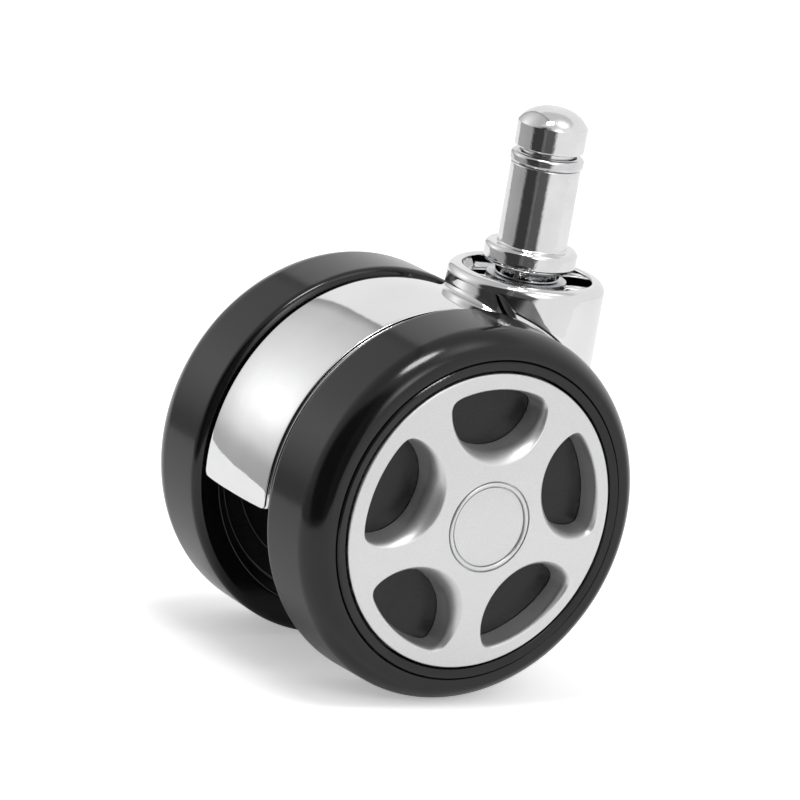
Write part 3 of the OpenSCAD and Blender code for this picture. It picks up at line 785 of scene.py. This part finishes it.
silver, tree, shader, where = new_finish("satin_silver", Metallic=0.85, IOR=1.5)
marks = placed_group(tree, grain, Place=where, Grain_Scale=7.0, Tone_Scale=0.1)
tree.links.new(blended(tree, marks.outputs["Grain"], (0.64, 0.64, 0.645), (0.78, 0.78, 0.785)),
               shader.inputs["Base Color"])
tree.links.new(between(tree, marks.outputs["Tone"], 0.34, 0.42), shader.inputs["Roughness"])
bumped(tree, shader, marks.outputs["Grain"], 0.008)

sector = cover_sector()
cover_parts = [about_axle(part, math.radians(window_turn) + k * 2 * np.pi / windows)
               for k in range(windows) for part in sector]
for wheel, side in WHEELS.items():
    cover = make_piece(f"{wheel}_window_cover", [round_axle(part, side, half_gap) for part in cover_parts],
                       f"{wheel}_wheel", [f"{wheel}_cover"], sharp=50)
    cover.data.materials.append(silver)


# Hub caps: small discs with a bead between two fine grooves round the edge, moulded and painted like the
# covers. A plug on the back is pressed into the hole in the middle of the cover.
cap_r = 7.3
cap_z = 15.75
cap_crown = 0.45
groove_w = 0.2
groove_depth = 0.3
groove_slope = 0.05
bead_in, bead_out = 6.45, 7.1
bead_rise = 0.3
bead_step = 0.02
plug_r = 4.0
plug_end = 13.5
plug_chamfer = 0.3
seat_clear = 0.02
face_r = bead_in - groove_w
radius = np.linspace(0, face_r, 24)
face = np.stack([radius, cap_z + cap_crown * (1 - (radius / face_r) ** 2)], -1)
bead_turn = np.linspace(np.pi, 0, 15)
bead_mid, bead_half = (bead_in + bead_out) / 2, (bead_out - bead_in) / 2
bead = np.stack([bead_mid + bead_half * np.cos(bead_turn), cap_z + bead_rise * np.sin(bead_turn)], -1)
groove_z = cap_z - groove_depth
groove = np.array([[face_r + groove_slope, groove_z], [bead_in - groove_slope, groove_z]])
step = np.array([[bead_out + bead_step, groove_z], [cap_r, groove_z]])
back = np.array([[cap_r, seat_z + seat_clear], [plug_r - seat_clear, seat_z + seat_clear],
                 [plug_r - seat_clear, plug_end + plug_chamfer], [plug_r - plug_chamfer, plug_end],
                 [0, plug_end]])
cap_profile = refined(np.concatenate([face, groove, bead, step, back]), 0.7, closed=False)
for wheel, side in WHEELS.items():
    cap = make_piece(f"{wheel}_cap", [round_axle(turned(cap_profile, 144, closed=False), side, half_gap)],
                     f"{wheel}_wheel", [f"{wheel}_hub_cap"], sharp=50)
    cap.data.materials.append(silver)


# Studio: a white tent with a white floor sheet. One wall, behind and to the left, is lit through and
# fades round its bright spot; the opening in front, where the camera stands, is dark. Two soft lights
# shine through the tent in front and above, and a soft box overhead gives the shadow.
scene = bpy.context.scene
scene.view_settings.view_transform = "Standard"


def towards(azimuth, elevation):
    """Direction of a point of the studio, from its azimuth round the object and its elevation."""
    a, e = math.radians(azimuth), math.radians(elevation)
    return Vector((math.sin(a) * math.cos(e), -math.cos(a) * math.cos(e), math.sin(e)))


view_azimuth, view_elevation, view_roll = -35.193, 14.439, -9.865
view_distance = 1.2
view_lens = 348.18
view_aim = Vector((axle_x / 2, 0, axle_z / 2)) * MM
view_slide = Vector((-9.8405, -6.4569)) * MM
back = towards(view_azimuth, view_elevation)
level = Vector((math.cos(math.radians(view_azimuth)), math.sin(math.radians(view_azimuth)), 0))
upright = back.cross(level)
roll = math.radians(view_roll)
right = level * math.cos(roll) - upright * math.sin(roll)
up = level * math.sin(roll) + upright * math.cos(roll)
camera = bpy.data.objects.new("camera", bpy.data.cameras.new("camera"))
camera.data.lens = view_lens
camera.data.sensor_width = 36
camera.data.clip_end = 20
view_place = view_aim + back * view_distance + right * view_slide.x + up * view_slide.y
view_turn = Matrix((right, up, back)).transposed().to_4x4()
camera.matrix_world = Matrix.Translation(view_place) @ view_turn
scene.collection.objects.link(camera)
scene.camera = camera

floor_z = (axle_z - tyre_r) * MM
floor_left, floor_right = -0.13, 1.5
floor_front, floor_back = -0.19, 1.5
paper_white = (0.93, 0.93, 0.93, 1)
paper_rough = 0.9
paper_glow_seen = 0.4
paper_glow_mirrored = 0.08
corners = [(floor_left, floor_front), (floor_right, floor_front), (floor_right, floor_back),
           (floor_left, floor_back)]
floor_mesh = bpy.data.meshes.new("floor_sheet")
floor_mesh.from_pydata([(x, y, floor_z) for x, y in corners], [], [(0, 1, 2, 3)])
floor = bpy.data.objects.new("floor_sheet", floor_mesh)
scene.collection.objects.link(floor)
paper = bpy.data.materials.new("white_paper")
paper.use_nodes = True
tree = paper.node_tree
shader = tree.nodes["Principled BSDF"]
shader.inputs["Base Color"].default_value = paper_white
shader.inputs["Roughness"].default_value = paper_rough
seen = place(tree, "ShaderNodeLightPath")
mirrored = place(tree, "ShaderNodeMath", {0: seen.outputs["Is Glossy Ray"], 1: paper_glow_mirrored},
                 operation="MULTIPLY")
shown = place(tree, "ShaderNodeMath", {0: seen.outputs["Is Camera Ray"], 1: paper_glow_seen,
                                       2: mirrored.outputs["Value"]}, operation="MULTIPLY_ADD")
glow = place(tree, "ShaderNodeEmission", {"Color": (1, 1, 1, 1), "Strength": shown.outputs["Value"]})
both = place(tree, "ShaderNodeAddShader")
tree.links.new(shader.outputs["BSDF"], both.inputs[0])
tree.links.new(glow.outputs["Emission"], both.inputs[1])
tree.links.new(both.outputs["Shader"], tree.nodes["Material Output"].inputs["Surface"])
floor_mesh.materials.append(paper)

world = bpy.data.worlds.new("light_tent")
scene.world = world
world.use_nodes = True
tree = world.node_tree
tree.nodes.clear()
looking = place(tree, "ShaderNodeTexCoord").outputs["Generated"]


def lined_up(direction):
    """Cosine of the angle between the ray's direction and another."""
    node = place(tree, "ShaderNodeVectorMath", {0: looking, 1: direction}, operation="DOT_PRODUCT")
    return node.outputs["Value"]


def along(direction, start, end, low=0.0, high=1.0):
    """Value by how far the ray's direction points along another: a soft step between two cosines."""
    node = place(tree, "ShaderNodeMapRange", {"Value": lined_up(direction), "From Min": start,
                                              "From Max": end, "To Min": low, "To Max": high},
                 interpolation_type="SMOOTHSTEP")
    return node.outputs["Result"]


def worked(operation, first, second):
    """Result of an operation on two values."""
    return place(tree, "ShaderNodeMath", {0: first, 1: second}, operation=operation).outputs["Value"]


def mixed(share, first, second):
    """Value between two values."""
    node = place(tree, "ShaderNodeMix", {"Factor": share, "A": first, "B": second}, data_type="FLOAT")
    return node.outputs["Result"]


def glow_round(azimuth, elevation, spread, level):
    """Soft spot of light: a level that falls off as a bell curve of the angle from its middle."""
    width = math.radians(spread) ** 2 / 2
    far = worked("DIVIDE", worked("SUBTRACT", lined_up(towards(azimuth, elevation)), 1.0), width)
    return worked("MULTIPLY", worked("EXPONENT", far, 0.0), level)


# Azimuth, elevation, spread and level of each soft spot of light.
wall_glow = (-147, 24, 28, 0.5)
wall_spot = (-141, 14.5, 12, 0.45)
front_light = (-10, 40, 11, 3.2)
upper_light = (40, 68, 12, 1.6)
tent_level = 0.95
ceiling_level = 0.68
wall_dim = 0.52
seam_dim = 0.25
foot_dim = 0.74
opening_level = 0.05
opening_right = 0.11
opening_outer, opening_inner = 50, 40
stripe_level = 0.08
overhead = towards(0, 90)
wall_side = towards(-105.5, -8.6)
wall_back = towards(178, 0)
opening_way = towards(-58, 10)
opening_trim = towards(40, 30)
across_opening = towards(36, 0)
tent = mixed(along(overhead, 0.70, 0.80), tent_level, ceiling_level)
lit_wall = worked("ADD", glow_round(*wall_glow), glow_round(*wall_spot))
lit_wall = worked("ADD", lit_wall, wall_dim)
seam = along(wall_side, 0.0, 0.1)
lit_wall = mixed(seam, worked("SUBTRACT", lit_wall, seam_dim), lit_wall)
lit_wall = worked("MULTIPLY", lit_wall, along(overhead, -0.12, 0.03, foot_dim, 1.0))
in_wall = worked("MULTIPLY", along(wall_side, -0.012, 0.012), along(wall_back, -0.03, 0.03))
tent = mixed(in_wall, tent, lit_wall)
opening = along(opening_way, math.cos(math.radians(opening_outer)), math.cos(math.radians(opening_inner)))
opening = worked("MULTIPLY", opening, along(opening_trim, 0.62, 0.52))
inside = along(across_opening, -0.03, 0.05, opening_level, opening_right)
stripe = worked("MULTIPLY", along(across_opening, 0.09, 0.03),
                along(across_opening, -0.12, -0.05, 0.0, stripe_level))
tent = mixed(opening, tent, worked("ADD", inside, stripe))
tent = worked("ADD", tent, glow_round(*front_light))
tent = worked("ADD", tent, glow_round(*upper_light))
seen = place(tree, "ShaderNodeLightPath")
shown = mixed(seen.outputs["Is Camera Ray"], tent, 1.0)
sky = place(tree, "ShaderNodeBackground", {"Color": (1, 1, 1, 1), "Strength": shown})
made = place(tree, "ShaderNodeOutputWorld")
tree.links.new(sky.outputs["Background"], made.inputs["Surface"])

lamp_length, lamp_width = 0.26, 0.13
lamp_power = 1.45
lamp_distance = 0.7
lamp_way = towards(-61.4, 76.8)
lamp_data = bpy.data.lights.new("top_box", "AREA")
lamp_data.shape = "ELLIPSE"
lamp_data.size = lamp_length
lamp_data.size_y = lamp_width
lamp_data.energy = lamp_power
lamp = bpy.data.objects.new("top_box", lamp_data)
lamp_side = Vector((0, -1, 0)).cross(lamp_way).normalized()
lamp_turn = Matrix((lamp_side, lamp_way.cross(lamp_side), lamp_way)).transposed().to_4x4()
lamp.matrix_world = Matrix.Translation(view_aim + lamp_way * lamp_distance) @ lamp_turn
scene.collection.objects.link(lamp)
